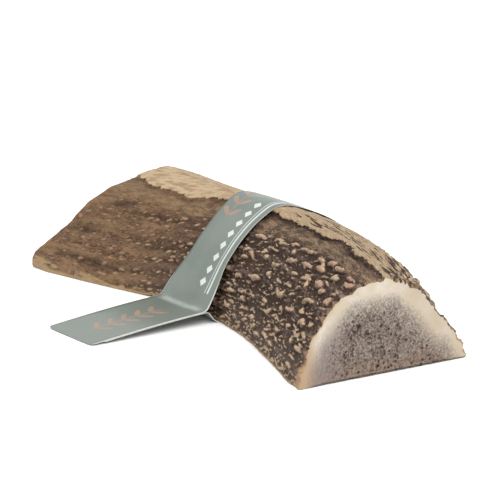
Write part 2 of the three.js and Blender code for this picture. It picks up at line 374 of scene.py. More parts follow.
# %% The large pearls
LARGE_PEARLS = [
    # along, round, length, width, tilt in degrees, warmth of the worn top
    (9.6, 24.3, 5.0, 1.4, 16, 0.4), (13.6, 23.9, 3.4, 1.4, 22, 0.5),
    (17.3, 23.1, 3.6, 1.3, -3, 0.5), (22.2, 23.3, 3.6, 1.2, 26, 0.4),
    (24.9, 22.7, 3.2, 1.3, 12, 0.4), (29.5, 22.4, 3.0, 1.1, 20, 0.6),
    (32.5, 21.0, 3.4, 1.0, 12, 0.4), (35.0, 21.2, 2.6, 1.0, 24, 0.4),
    (40.9, 20.0, 3.9, 1.2, 12, 0.5), (38.2, 21.1, 2.3, 0.9, 12, 0.4),
    (14.3, 21.5, 3.9, 2.0, 4, 0.8), (1.5, 23.2, 5.7, 1.6, 24, 0.9),
    (7.8, 22.0, 3.0, 1.5, 32, 0.3), (19.3, 20.4, 4.1, 1.2, 8, 0.5),
    (26.5, 20.7, 1.7, 1.5, 0, 0.4), (24.7, 19.2, 4.3, 1.1, 18, 0.6),
    (9.5, 18.9, 4.3, 2.0, 6, 0.6), (6.8, 18.3, 3.4, 1.1, 20, 0.5), (2.1, 17.7, 3.2, 1.6, 37, 0.6),
    (15.8, 18.3, 3.6, 1.2, 20, 0.4), (13.7, 17.3, 2.5, 1.1, -40, 0.4),
    (20.0, 17.5, 2.6, 1.0, 22, 0.3), (29.0, 16.5, 3.0, 0.9, 24, 0.4),
    (32.9, 16.7, 1.7, 1.5, 0, 0.4), (35.2, 17.5, 2.5, 1.0, 26, 0.3),
    (38.1, 15.7, 3.2, 1.2, -28, 0.6), (40.4, 14.6, 2.5, 1.0, 17, 0.5),
    (9.0, 15.1, 4.6, 1.3, 26, 0.5), (15.4, 15.8, 2.4, 1.0, 30, 0.4),
    (28.4, 14.2, 2.1, 1.5, 0, 0.3), (32.2, 12.2, 4.2, 1.4, 4, 0.4),
    (42.6, 11.1, 2.6, 1.5, -5, 1.0), (21.0, 12.4, 2.1, 1.4, 8, 0.4),
    (18.9, 12.6, 1.5, 1.8, 0, 0.4), (13.4, 11.5, 5.0, 1.1, 8, 0.4),
    (8.7, 12.8, 2.6, 1.1, 10, 0.4), (5.9, 11.5, 3.0, 1.5, -12, 0.5),
    (2.9, 12.2, 2.0, 1.1, 20, 0.5), (38.4, 10.6, 2.2, 1.1, 20, 0.4),
    (17.4, 10.4, 2.4, 1.1, -8, 0.3), (24.4, 9.6, 2.2, 1.0, 10, 0.4),
    (38.5, 7.3, 3.6, 1.1, 6, 0.5), (33.7, 7.0, 2.5, 1.6, 0, 0.4), (2.9, 9.7, 3.0, 1.3, -10, 0.4),
    (11.3, 8.9, 2.6, 1.0, 6, 0.4), (7.3, 7.1, 2.0, 1.5, 20, 0.3), (3.6, 6.7, 3.6, 1.2, -5, 0.4),
    (15.2, 6.5, 3.0, 1.3, 8, 0.5), (16.1, 3.4, 3.0, 1.3, -6, 0.5), (38.9, 4.0, 3.0, 1.1, 8, 0.5),
    (20.4, 4.0, 3.0, 1.1, 4, 0.4), (5.7, 2.7, 3.0, 1.3, 0, 0.4), (28.3, 5.0, 2.8, 1.1, 10, 0.4),
    (24.0, 2.8, 2.6, 1.2, 6, 0.4), (65.6, 19.1, 1.6, 1.0, 10, 0.9),
    (69.1, 18.3, 1.4, 1.1, 20, 0.9), (72.1, 17.8, 1.6, 1.0, 0, 0.7),
    (67.8, 16.4, 1.5, 0.9, -10, 0.8), (76.6, 19.1, 1.3, 1.0, 30, 0.4),
    (66.1, 13.4, 1.5, 0.9, 10, 0.9), (71.1, 12.8, 1.8, 0.9, 5, 0.7),
]
large_places = np.array([pearl[:2] for pearl in LARGE_PEARLS])
large_sizes = np.array([pearl[2:4] for pearl in LARGE_PEARLS])
print(len(LARGE_PEARLS), "large pearls")

# %% Helpers for the smaller pearls
scatter = np.random.default_rng(31)


def scattered(start, end, low_edge, high_edge, cell, lengths, widths, chance):
    """Pearls on a shaken grid of cells between two edges round the bark."""
    found = []
    for place_x in np.arange(start, end, cell[0]):
        for place_y in np.arange(0, 80, cell[1]):
            shake = scatter.uniform(-0.42, 0.42, 2)
            x, y = place_x + cell[0] * shake[0], place_y + cell[1] * shake[1]
            row = int(np.clip(np.searchsorted(along, x), 0, ALONG))
            size = scatter.uniform(0, 1) ** 1.6
            draw = scatter.uniform(0, 1, 3)
            if not low_edge[row] < y < high_edge[row] or draw[0] > chance:
                continue
            length = lengths[0] + (lengths[1] - lengths[0]) * size
            breadth = widths[0] + (widths[1] - widths[0]) * size
            found.append((x, y, length, breadth, 40 * (draw[1] - 0.25), 0.7 * draw[2]))
    return found


def is_clear(pearl):
    """Whether a small pearl stays off all the large ones."""
    away_x = (large_places[:, 0] - pearl[0]) / (large_sizes[:, 0] + pearl[2])
    away_y = (large_places[:, 1] - pearl[1]) / (large_sizes[:, 1] + pearl[3])
    return np.all(np.hypot(away_x, away_y) > 0.5)


print("pearl helpers ready")

# %% Scatter of smaller pearls
foot = np.zeros(ALONG + 1)
top = pearl_top[:, 0]
behind_ridge = ridge_back[:, 0] + 1
# start, end, low and high edge, cell, lengths, widths, chance that a cell holds a pearl
small = scattered(-0.5, 46, foot + 8, top - 0.4, (1.8, 1.05), (1.3, 3.3), (0.34, 0.72), 0.80)
small += scattered(-0.5, 46, foot - 1, foot + 9, (1.9, 0.85), (1.2, 3.6), (0.38, 0.80), 0.97)
far_small = scattered(44, LENGTH + 1, foot - 1, top - 0.2, (2.1, 1.35), (0.8, 2.1), (0.45, 0.95), 0.85)
back_small = scattered(
    1.5, LENGTH + 1, behind_ridge, girth + 1, (2.5, 1.6), (1.2, 3.8), (0.5, 1.4), 0.92)
small = [pearl for pearl in small if is_clear(pearl)]
far_small = [pearl for pearl in far_small if is_clear(pearl)]
print(len(small), "small pearls near,", len(far_small), "far and", len(back_small), "on the back")

# %% Side lobes of the large pearls
lobe_draw = np.random.default_rng(19)
lobes = []
for x, y, length, breadth, tilt, warmth in LARGE_PEARLS:
    for _ in range(2):
        lobe_x = x + lobe_draw.uniform(-0.5, 0.5) * length
        lobe_y = y + lobe_draw.uniform(-0.5, 0.5) * breadth
        size = lobe_draw.uniform(0.35, 0.6)
        lean = tilt + lobe_draw.uniform(-25, 25)
        lobes.append((lobe_x, lobe_y, size * length, size * breadth + 0.15, lean, warmth))
print(len(lobes), "lobes")

# %% [markdown]
# A dome over an oval would look like a pill. So the grid's own coordinates are bent with noise
# before each oval is measured on them, and that is what makes a bead lumpy. A positive tilt makes
# the long axis climb towards the near end, because x grows towards the far one.

# %% Draw the pearls on the grid
bend_x = 0.65 * (rough_hills(x_mm / 1.5, y_mm / 1.2, 41) - 0.5)
bend_y = 0.60 * (rough_hills(x_mm / 1.7, y_mm / 1.1, 51) - 0.5)
bend_y = bend_y + 0.3 * (hills(x_mm / 0.7, y_mm / 0.6, 54) - 0.5)


def oval(patch, x, y, length, breadth, tilt, bends):
    """Squared distance from the middle of a tilted oval, where 1 is its edge. The two bends say how
    strongly the noise shakes it, along the beam and round the bark."""
    away_x = x_mm[patch] + bends[0] * bend_x[patch] - x
    away_y = y_mm[patch] + bends[1] * bend_y[patch] - y
    turn = math.radians(tilt)
    down_length = away_x * math.cos(turn) - away_y * math.sin(turn)
    over_breadth = away_x * math.sin(turn) + away_y * math.cos(turn)
    return (down_length / (length / 2)) ** 2 + (over_breadth / (breadth / 2)) ** 2


pearl_height = np.zeros_like(x_mm)
pearl_dome = np.zeros_like(x_mm)
pearl_tone = np.zeros_like(x_mm)
for x, y, length, breadth, tilt, warmth in LARGE_PEARLS + lobes + small + far_small + back_small:
    reach = length / 2 + 1.2
    first, last = np.searchsorted(along, (x - reach, x + reach))
    if first == last:
        continue
    heights_round = share_around * girth[first:last].mean()
    columns = np.clip(np.searchsorted(heights_round, (y - reach, y + reach)), 0, AROUND + 1)
    patch = (slice(first, last), slice(*columns))
    # broad pearls are bent less, so that they keep their set shape
    wobble = 0.62 if breadth > 0.95 else 0.80
    dome = np.sqrt(np.clip(1 - oval(patch, x, y, length, breadth, tilt, (wobble, wobble)), 0, 1))
    raised = (0.14 + 0.40 * breadth) * dome
    is_higher = raised > pearl_height[patch]
    pearl_height[patch] = np.where(is_higher, raised, pearl_height[patch])
    pearl_dome[patch] = np.where(is_higher, dome * min(1.0, 0.66 + 0.36 * breadth), pearl_dome[patch])
    pearl_tone[patch] = np.where(is_higher, warmth, pearl_tone[patch])
print("pearls cover", round(float((pearl_dome > 0.5).mean()) * 100), "% of the bark")

# %% [markdown]
# ## Relief
#
# The ridge stands proud with dark flecks sunk into it, a furrow runs beside it, and the pearled
# skin has long flutes and fine cracks. A bump map could fake most of that. Here all of it is real
# displacement of the grid, so it shows on the outline and in the shadows, and it stays in the mesh
# when the piece is used elsewhere.

# %% Flecks of the ridge
fleck_draw = np.random.default_rng(77)
flecks = np.zeros_like(x_mm)
fleck_count = 0
for _ in range(420):
    x, share = fleck_draw.uniform(0, LENGTH), fleck_draw.uniform(0, 1)
    row = int(np.searchsorted(along, x))
    y = furrow[row, 0] + 1.2 + share * (ridge_back[row, 0] - furrow[row, 0])
    # only the near part is flecked, and less so along the furrow
    crowded = (x < 44) * (0.35 + 0.65 * (share > 0.25))
    size, lean = fleck_draw.uniform(0, 1) ** 1.5, fleck_draw.uniform(-8, 12)
    if fleck_draw.uniform(0, 1) >= crowded:
        continue
    length, breadth = 2.2 + 6.0 * size, 0.30 + 0.62 * size
    reach = length / 2 + 1.0
    rows = slice(*np.searchsorted(along, (x - reach, x + reach)))
    depth_here = np.clip(1 - oval(rows, x, y, length, breadth, lean, (1.0, 0.6)), 0, 1)
    flecks[rows] = np.maximum(flecks[rows], depth_here)
    fleck_count += 1
flecks *= ease(ridge, 0.3, 0.9)
print(fleck_count, "flecks")

# %% Long hollows and the painted shadow beside the card
HOLLOWS = [
    # along, round, length, width, tilt in degrees: all on the far part
    (81.0, 4.4, 17.0, 1.5, -5), (71.0, 18.5, 19.0, 1.7, 0), (87.0, 12.0, 9.0, 3.0, 0),
    (66.0, 10.5, 10.0, 1.6, 8), (84.0, 20.0, 8.0, 2.2, 10),
]
hollow = np.zeros_like(x_mm)
for x, y, length, breadth, tilt in HOLLOWS:
    hollow = np.maximum(hollow, np.exp(-oval(..., x, y, length, breadth, tilt, (2, 1))))

STRIP_WIDTH = 15.4
STRIP_CENTRE = np.array([29.3, -35.2])
STRIP_BEARING = math.radians(-1.5)
strip_across = np.array([math.cos(STRIP_BEARING), -math.sin(STRIP_BEARING)])
# painted shadow of the card: the bark is darkened for a few millimetres along the card's near edge
beside_card = (body[..., :2] - STRIP_CENTRE) @ strip_across - 0.46 * STRIP_WIDTH
painted_card_shadow = (1 - ridge) * ease(beside_card, -1.0, 0.0) * (1 - ease(beside_card + 1.2 * ragged, 0.5, 3.0))
print("hollows cover", round(float((hollow > 0.5).mean()) * 100, 1), "% of the bark")

# %% Relief of the bark
flutes = np.sin(2 * math.pi * (y_mm / 4.6 + 1.3 * hills(x_mm / 26, y_mm / 12, 61)))
crinkle = np.clip(1 - np.abs(2 * rough_hills(x_mm / 1.6, y_mm / 0.8, 71) - 1) * 2.2, 0, 1)
broad = hills(x_mm / 13, y_mm / 9, 81) - 0.5
fibres = rough_hills(x_mm / 7.0, y_mm / 0.8, 91) - 0.5
# sawing and handling have worn the relief down towards both ends
end_calm = (0.40 + 0.60 * ease(x_mm, 0, 5)) * (0.08 + 0.92 * ease(LENGTH - x_mm, 1, 12))
far_calm = 0.25 + 0.75 * ease(LENGTH - x_mm, 0.5, 9)
# the back flank is sunk behind the shoulder of the near end
at_back = ease(y_mm, 40, 47) * (1 - ease(x_mm, 14, 30)) * ease(x_mm, 0.0, 2.5)

relief = (
    0.55 * ridge * (1 - 0.5 * far_part)
    - 0.48 * furrow_depth * (1 - 0.6 * far_part) * end_calm
    + (0.16 * flutes + 0.26 * (crinkle - 0.5)) * in_pearls * far_calm
    + 0.22 * fibres * ridge
    + 0.10 * (crinkle - 0.5) * (1 - in_pearls)
    + 0.5 * broad * (1 - 0.5 * far_part)
    + pearl_height * in_pearls * (1 - 0.45 * far_part) * end_calm * (1 - 0.75 * at_back)
    - 0.35 * flecks
    - 0.75 * at_back
    - 0.30 * hollow
    + 0.30 * np.exp(-(((up_the_stripe - 0.30) / 0.22) ** 2)) * stripe
    - 0.25
)
print("relief before the edges are worn:", np.round([relief.min(), relief.max()], 2), "mm")

# %% Worn edges
from_cut = np.minimum(x_mm, LENGTH - x_mm)
from_foot = np.minimum(y_mm, girth[:, None] - y_mm)
# the bark is rounded over the last 0.9 mm before each saw cut
worn_edge = np.clip(1 - from_cut / 0.9, 0, 1)
relief -= 0.55 * (1 - np.sqrt(1 - worn_edge**2 * 0.96))
relief *= ease(from_foot, -0.6, 1.2)
# the front foot is rounded too where it meets a cut
corner = np.clip(1 - y_mm / 1.8, 0, 1)
relief -= 1.0 * (1 - np.sqrt(1 - 0.98 * corner**2)) * (1 - ease(from_cut, 0.5, 5.0))
print("relief from", round(float(relief.min()), 2), "to", round(float(relief.max()), 2), "mm")

# %% Tops and flanks
def blurred(values, passes):
    """The grid with every value averaged with its neighbours, a number of times."""
    for _ in range(passes):
        for axis in (0, 1):
            count = values.shape[axis]
            first, last = np.split(np.take(values, (0, -1), axis=axis), 2, axis=axis)
            wide = np.concatenate([first, values, last], axis=axis)
            before = np.take(wide, range(count), axis=axis)
            after = np.take(wide, range(2, count + 2), axis=axis)
            values = (before + 2 * values + after) / 4
    return values


# tops stand above the blurred relief and hollows below it
proud = relief - blurred(relief, 24)
print("tops stand proud by", np.round(np.percentile(proud, [2, 50, 98]), 2), "mm")

# positive on the side of a bead that faces down to its foot, where shade is painted
climb = np.gradient(blurred(relief, 2), axis=1) / np.gradient(y_mm, axis=1)
flank = np.clip(np.where(y_mm < girth[:, None] / 2, climb, -climb), -1.2, 1.2)
print("flanks climb by", np.round(np.percentile(flank, [2, 50, 98]), 2))

# %% Push the grid out along its normals
normal = np.cross(np.gradient(body, axis=0), np.gradient(body, axis=1))
normal /= np.linalg.norm(normal, axis=2, keepdims=True)
normal *= np.sign(np.sign(normal[:, AROUND // 2, 2]).mean())
# points on a saw cut stay in its plane, and points on a foot stay on the split face
for line in (0, ALONG):
    facing = np.array([inward[line, 1], -inward[line, 0], 0])
    normal[line] -= (normal[line] @ facing)[:, None] * facing
normal[:, (0, -1), 2] = 0
normal /= np.linalg.norm(normal, axis=2, keepdims=True)
bark = body + normal * relief[..., None]
bark[..., 2] = np.maximum(bark[..., 2], 0)
bark[:, (0, -1), 2] = 0
# the thin edges at both feet turn down to the ground, except where the card passes under them
LIP = 0.45
less_at_back = 1 - 0.7 * (y_mm > 30) * (1 - ease(x_mm, 2, 10))
off_the_card = 1 - ease(x_mm, 36, 40) * (1 - ease(x_mm, 61, 65))
low_down = 1 - ease(bark[..., 2], 0, 2.2)
bark[..., 2] -= LIP * less_at_back * off_the_card * low_down
bark += SHIFT
print("bark box (mm):", np.round([bark.min((0, 1)), bark.max((0, 1))], 2).tolist())

# %% [markdown]
# ## Sawn ends and split face
#
# A sawn face shows a rim of dense bone round a spongy core. It could be one flat polygon with a
# picture on it, but the larger pores should be real pits. So both faces and the split underside
# are filled with a net of triangles that starts from the bark's own edge points, which also makes
# the whole piece one closed skin. The finer pores are left to the material.

# %% Quads of the bark and feet of the sawn faces
FOOT_STEPS = 70
points = [tuple(point) for point in bark.reshape(-1, 3)]
faces = []


def number(line, column):
    """The number of a grid point in the list of points."""
    return line * (AROUND + 1) + column


for line in range(ALONG):
    for column in range(AROUND):
        faces.append((number(line, column), number(line, column + 1),
                      number(line + 1, column + 1), number(line + 1, column)))

foot_rows = {}
for line in (0, ALONG):
    ids = [number(line, 0)]
    for step in range(1, FOOT_STEPS):
        foot_place = bark[line, 0] + (bark[line, -1] - bark[line, 0]) * step / FOOT_STEPS
        to_flat = ease(min(step, FOOT_STEPS - step) / FOOT_STEPS, 0.02, 0.16)
        foot_place[2] += (FLAT - foot_place[2]) * to_flat
        ids.append(len(points))
        points.append(tuple(foot_place))
    ids.append(number(line, AROUND))
    foot_rows[line] = ids
print(len(faces), "quads of bark")

# %% Helpers that fill a closed edge
def is_inside(places, corners):
    """Which flat places lie inside a closed line of corners."""
    crossings = np.zeros(len(places), int)
    for start, end in zip(corners, np.roll(corners, -1, axis=0)):
        if start[1] == end[1]:
            continue
        between_ends = (start[1] > places[:, 1]) != (end[1] > places[:, 1])
        crossing = start[0] + (end[0] - start[0]) * (places[:, 1] - start[1]) / (end[1] - start[1])
        crossings += between_ends & (places[:, 0] < crossing)
    return crossings % 2 == 1


def inside_net(edge_places, spacing, seed, margin):
    """A shaken net of points that keep a margin from a closed edge."""
    edge = np.asarray(edge_places, float)
    draw = np.random.default_rng(seed)
    low_corner, high_corner = edge.min(0), edge.max(0)
    net_x, net_y = np.meshgrid(np.arange(low_corner[0], high_corner[0], spacing),
                               np.arange(low_corner[1], high_corner[1], spacing))
    net = np.stack([net_x.ravel(), net_y.ravel()], 1)
    net = net + draw.uniform(-0.25, 0.25, (net_x.size, 2)) * spacing
    net = net[is_inside(net, edge)]
    nearest = np.full(len(net), 1e9)
    for corner_place in edge:
        nearest = np.minimum(nearest, np.hypot(*(net - corner_place).T))
    return net[nearest > margin]


def fill(edge_ids, edge_places, inside_places, lift, turned):
    """Triangles inside a closed edge, with extra points inside, added to points and faces. lift
    takes a flat place back to the model."""
    count = len(edge_ids)
    flat = [Vector(place) for place in edge_places] + [Vector(place) for place in inside_places]
    edges = [(index, (index + 1) % count) for index in range(count)]
    placed, _, triangles, origins, _, _ = delaunay_2d_cdt(flat, edges, [], 1, 1e-7)
    ids = []
    for place, origin in zip(placed, origins):
        if origin and origin[0] < count:
            ids.append(edge_ids[origin[0]])
        else:
            ids.append(len(points))
            points.append(tuple(lift(place)))
    for triangle in triangles:
        corners = [ids[corner] for corner in triangle]
        faces.append(tuple(reversed(corners)) if turned else tuple(corners))


print("filling helpers ready")

# %% Fill the ends and the underside
for line, turned, spacing in ((0, False, 0.31), (ALONG, True, 0.55)):
    across = np.array([*inward[line], 0])
    start = bark[line, 0].copy()
    edge_ids = [number(line, column) for column in range(AROUND + 1)] + foot_rows[line][-2:0:-1]
    edge_places = [((np.array(points[index]) - start) @ across, points[index][2] - FLAT)
                   for index in edge_ids]
    net = inside_net(edge_places, spacing, 5 + line, spacing * 0.5)
    fill(edge_ids, edge_places, net,
         lambda place: start + across * place[0] + (0, 0, place[1]), turned)
    print("sawn face at line", line, "has", len(net), "points inside")

front_ids = [number(line, 0) for line in range(ALONG + 1)]
back_ids = [number(line, AROUND) for line in range(ALONG + 1)]
edge_ids = front_ids + foot_rows[ALONG][1:-1] + back_ids[::-1] + foot_rows[0][-2:0:-1]
edge_places = [points[index][:2] for index in edge_ids]
net = inside_net(edge_places, 2.2, 9, 1.0)
fill(edge_ids, edge_places, net, lambda place: (place[0], place[1], FLAT), False)
print(len(points), "points and", sum(len(face) - 2 for face in faces), "triangles")

# %% [markdown]
# Each point also gets the numbers that the material needs: where it lies along and round the
# bark, which zone it is in, and on the cut faces how deep it lies inside the spongy core. They
# could be painted as pictures, but numbers on the points need no unwrapping and no image file.

# %% How deep each point lies in the spongy core
CORE_EDGE = np.array([
    # the core's edge on the near sawn face: back from the front foot, and up
    (3.2, -1.0), (3.4, 0.0), (4.1, 2.9), (5.9, 7.1), (8.6, 11.2), (12.2, 13.7), (17.7, 14.4),
    (22.3, 13.9), (25.4, 11.5), (28.8, 8.0), (31.2, 5.1), (35.0, 2.6), (37.0, 0.0), (37.3, -1.0),
])
LINE_STEP = 5


def core_depth(back, up):
    """How far inside the spongy core a place on a cut face lies (mm, negative outside it)."""
    face_places = np.stack([back, up], 1)
    nearest = np.full(len(face_places), 1e9)
    for start, end in zip(CORE_EDGE[:-1], CORE_EDGE[1:]):
        edge = end - start
        share = np.clip((face_places - start) @ edge / (edge @ edge), 0, 1)
        aside_edge = np.linalg.norm(face_places - start - share[:, None] * edge, axis=1)
        nearest = np.minimum(nearest, aside_edge)
    return np.where(is_inside(face_places, CORE_EDGE), nearest, -nearest)


places = np.array(points)
bark_count = (ALONG + 1) * (AROUND + 1)
is_cut = np.arange(len(places)) >= bark_count
drawn = places - SHIFT
nearest_line = np.zeros(len(places), int)
for block in np.array_split(np.arange(len(places)), 60):
    to_front = drawn[block, None, :2] - front_foot[None, ::LINE_STEP]
    side_x = to_front[..., 0] * inward[None, ::LINE_STEP, 1]
    side_y = to_front[..., 1] * inward[None, ::LINE_STEP, 0]
    nearest_line[block] = np.argmin(np.abs(side_x - side_y), axis=1) * LINE_STEP
offset = drawn[:, :2] - front_foot[nearest_line]
back = np.sum(offset * inward[nearest_line], axis=1)
# places on both sawn faces are scaled to the near one, so that one core edge serves both
face_back = back * width[0] / width[nearest_line]
face_up = drawn[:, 2] * NEAR_HEIGHT / slices[nearest_line, 5]
depth = core_depth(face_back, face_up)
print("the core is up to", round(float(depth[is_cut].max()), 1), "mm deep")

# %% Press the larger pores in and measure the rim
pore = ease(hills(face_back / 0.62 + 40, face_up / 0.62 + 40, 121), 0.22, 0.10)
pore = pore * ease(depth, 2.0, 5.0) * is_cut * (drawn[:, 2] > 0.4)
pore *= ease(rough_hills(face_back / 3.5, face_up / 3.0, 131), 0.42, 0.6)
into_face = np.stack([-inward[nearest_line, 1], inward[nearest_line, 0]], 1)
into_face = np.where((nearest_line < ALONG / 2)[:, None], 1.0, -1.0) * into_face
places[:, :2] += 0.35 * pore[:, None] * into_face

to_edge = np.zeros(len(places))
for line in (0, ALONG):
    here = (nearest_line // LINE_STEP == line // LINE_STEP) & is_cut
    rim_points = np.stack([back_in[line], up_in[line]], 1)
    own_places = np.stack([back[here], drawn[here, 2]], 1)
    to_edge[here] = np.min(np.linalg.norm(own_places[:, None] - rim_points[None, ::2], axis=2), axis=1)
print(int((pore > 0.5).sum()), "points pressed in as pores")

# %% Build the antler mesh
def give(mesh, name, values, kind="FLOAT"):
    """Stores one number or vector per point under a name that the material reads."""
    layer = mesh.attributes.new(name, kind, "POINT")
    key = "value" if kind == "FLOAT" else "vector"
    layer.data.foreach_set(key, np.ravel(values).astype(np.float32))


antler_mesh = bpy.data.meshes.new("antler_piece")
antler_mesh.from_pydata([tuple(place * MM) for place in places], [], faces)
antler_mesh.validate()

bark_numbers = {
    "pearl": pearl_dome * in_pearls * (0.35 + 0.65 * ease(from_cut, 0.1, 1.8)),
    "tone": pearl_tone,
    "ridge": ridge,
    "stripe": stripe,
    "furrow": furrow_depth,
    "fleck": flecks,
    "far_part": far_part,
    "hollow": hollow,
    "painted_card_shadow": painted_card_shadow,
    "up_the_stripe": up_the_stripe,
    "proud": proud,
    "flank": flank,
    "from_cut": from_cut,
    "from_foot": from_foot,
}
cut_count = len(places) - bark_count
for name, values in bark_numbers.items():
    give(antler_mesh, name, np.concatenate([np.ravel(values), np.zeros(cut_count)]))
for name, values in (("core", depth), ("edge", to_edge), ("pore", pore)):
    give(antler_mesh, name, values)
give(antler_mesh, "face_place", np.stack([face_back, face_up, 0 * face_up], 1), "FLOAT_VECTOR")
bark_places = np.stack([x_mm, y_mm, np.zeros_like(x_mm)], axis=-1).reshape(-1, 3)
bark_places = np.vstack([bark_places, np.zeros((cut_count, 3))])
give(antler_mesh, "place", bark_places, "FLOAT_VECTOR")

cut_faces = np.array([max(polygon.vertices) >= bark_count or len(polygon.vertices) == 3
                      for polygon in antler_mesh.polygons])
antler_mesh.polygons.foreach_set("material_index", cut_faces.astype(np.int32))
antler_mesh.polygons.foreach_set("use_smooth", ~cut_faces)
antler_piece = bpy.data.objects.new("antler_piece", antler_mesh)
scene.collection.objects.link(antler_piece)
print("antler piece:", len(antler_mesh.polygons), "faces,", int(cut_faces.sum()), "of them cut")

# %% [markdown]
# ## Materials by recipe
#
# A material is a tree of nodes. It could be wired by hand in the node editor, but code can be read
# and repeated. A small helper adds a node, sets or links its inputs by name and hands back its
# output, so that a recipe reads from top to bottom like a list of coats of paint.

# %% Recipe helper
class Recipe:
    """A material whose nodes are added one after the other."""

    def __init__(self, name):
        self.material = bpy.data.materials.new(name)
        self.material.use_nodes = True
        self.tree = self.material.node_tree
        self.shader = self.tree.nodes["Principled BSDF"]

    def add(self, kind, inputs, output=0, **settings):
        """Adds a node and returns one of its outputs."""
        node = self.tree.nodes.new("ShaderNode" + kind)
        for key, value in settings.items():
            setattr(node, key, value)
        for key, value in inputs.items():
            self.feed(node.inputs[key], value)
        return node.outputs[output]

    def feed(self, socket, value):
        """Sets a socket to a value, or links it to another node's output."""
        if isinstance(value, bpy.types.NodeSocket):
            self.tree.links.new(value, socket)
        else:
            socket.default_value = value

    def number(self, name):
        """A number that the mesh's points carry."""
        return self.add("Attribute", {}, "Fac", attribute_name=name)

    def vector(self, name):
        """A vector that the mesh's points carry."""
        return self.add("Attribute", {}, "Vector", attribute_name=name)

    def millimetres(self):
        """The place in the object, in mm."""
        return self.stretch(self.add("TexCoord", {}, "Object"), (1000.0, 1000.0, 1000.0))

    def axes(self, vector):
        """The three numbers of a vector."""
        return self.add("SeparateXYZ", {0: vector}).node.outputs

    def stretch(self, vector, factors):
        return self.add("VectorMath", {0: vector, 1: factors}, operation="MULTIPLY")

    def noise(self, vector, scale, detail=3.0, roughness=0.55):
        inputs = {"Vector": vector, "Scale": scale, "Detail": detail, "Roughness": roughness}
        return self.add("TexNoise", inputs)

    def cells(self, vector, scale):
        """Distance from the middle of a random cell, and a random number for each cell."""
        distance = self.add("TexVoronoi", {"Vector": vector, "Scale": scale}, "Distance")
        return distance, self.add("SeparateColor", {0: distance.node.outputs["Color"]})

    def math(self, operation, first, second=0.0):
        return self.add("Math", {0: first, 1: second}, operation=operation)

    def plus(self, first, second):
        return self.math("ADD", first, second)

    def minus(self, first, second):
        return self.math("SUBTRACT", first, second)

    def times(self, first, second):
        return self.math("MULTIPLY", first, second)

    def shake(self, value, noise, amount):
        """A number shaken by noise, for broken edges."""
        return self.plus(value, self.times(self.minus(noise, 0.5), amount))

    def ramp(self, value, start, end, low=0.0, high=1.0):
        """A smooth step from low to high as value goes from start to end."""
        inputs = {"Value": value, "From Min": start, "From Max": end, "To Min": low, "To Max": high}
        return self.add("MapRange", inputs, interpolation_type="SMOOTHSTEP")

    def blend(self, share, first, second):
        """Mixes two colours, each a code such as "6b5a45" or another node's output."""
        first, second = (paint(colour) if isinstance(colour, str) else colour
                         for colour in (first, second))
        return self.add("Mix", {0: share, 6: first, 7: second}, 2, data_type="RGBA")

    def coat(self, base, code, value, start, end, most=1.0):
        """A coat of paint where value goes from start to end, as opaque as most."""
        return self.blend(self.ramp(value, start, end, 0.0, most), base, code)

    def finish(self, colour, roughness, specular=0.5):
        """Feeds the shader its colour and its gloss."""
        self.feed(self.shader.inputs["Base Color"], colour)
        self.feed(self.shader.inputs["Roughness"], roughness)
        self.feed(self.shader.inputs["Specular IOR Level"], specular)
        print(self.material.name, "has", len(self.tree.nodes), "nodes")

    def bump(self, height, strength, distance):
        """Relief finer than the mesh. The distance is in metres."""
        inputs = {"Strength": strength, "Distance": distance, "Height": height}
        self.feed(self.shader.inputs["Normal"], self.add("Bump", inputs))


print("recipe helper ready")

# %% [markdown]
# ## Bark
#
# Fresh antler is pale, and its dark coat is dried blood and plant juice rubbed into the hollows.
# So the bark is dark brown where nothing wore it off, tan on the pearls' tops, olive on the smooth
# stripe and cream on the ridge, and the far part is browner and calmer all over. One picture could
# show that, but it would be stretched over the relief. Here each zone is a few coats of paint that
# follow the relief's own numbers, and noise breaks up every border.
# Some of the paint stands for light and shade: lighter tops and darker hollows, shade and
# highlight on the beads, shade in the long hollows, and a shadow beside the card.

# %% Noises of the bark
mix = Recipe("antler_bark")
place = mix.vector("place")


def bark_noise(along_scale, round_scale, detail, roughness):
    """Noise with its own scale along the beam and round the bark."""
    scaled = mix.stretch(place, (along_scale, round_scale, 1.0))
    return mix.noise(scaled, 1.0, detail, roughness)


drift = mix.add("TexNoise", {"Vector": place, "Scale": 0.9, "Detail": 2.0}, 1)
drifted = mix.add(
    "VectorMath", {0: place, 1: mix.stretch(drift, (0.9, 0.7, 0.0))}, operation="ADD")
bead_distance, bead_kind = mix.cells(mix.stretch(drifted, (0.75, 1.55, 1.0)), 1.0)
bead = mix.times(mix.ramp(bead_distance, 0.50, 0.12), mix.ramp(bead_kind, 0.35, 0.55))
fine = bark_noise(1.6, 2.6, 4.0, 0.6)
grain = bark_noise(1.2, 4.5, 3.0, 0.6)
specks = bark_noise(2.6, 4.6, 2.0, 0.6)
threads = bark_noise(0.42, 5.5, 3.0, 0.6)
patches = bark_noise(0.10, 0.28, 3.0, 0.5)
streaks = bark_noise(0.16, 0.9, 3.0, 0.55)
blots = bark_noise(0.34, 0.80, 2.0, 0.6)
flank_number = mix.number("flank")
far = mix.number("far_part")
near = mix.minus(1.0, far)
print("bark noises:", len(mix.tree.nodes), "nodes")

# %% Dark skin with tiny beads
proud_number = mix.shake(mix.number("proud"), fine, 0.5)
skin = mix.blend(mix.ramp(grain, 0.38, 0.68), "190d08", "352218")
skin = mix.coat(skin, "463225", patches, 0.45, 0.7, 0.35)
# tops of the relief painted lighter: partly worn tops, partly painted light
skin = mix.coat(skin, "6e5c50", proud_number, -0.06, 0.22, 0.62)
hair_lines = mix.math("ABSOLUTE", mix.minus(specks, 0.5))
skin = mix.coat(skin, "8a7566", hair_lines, 0.03, 0.0, 0.30)
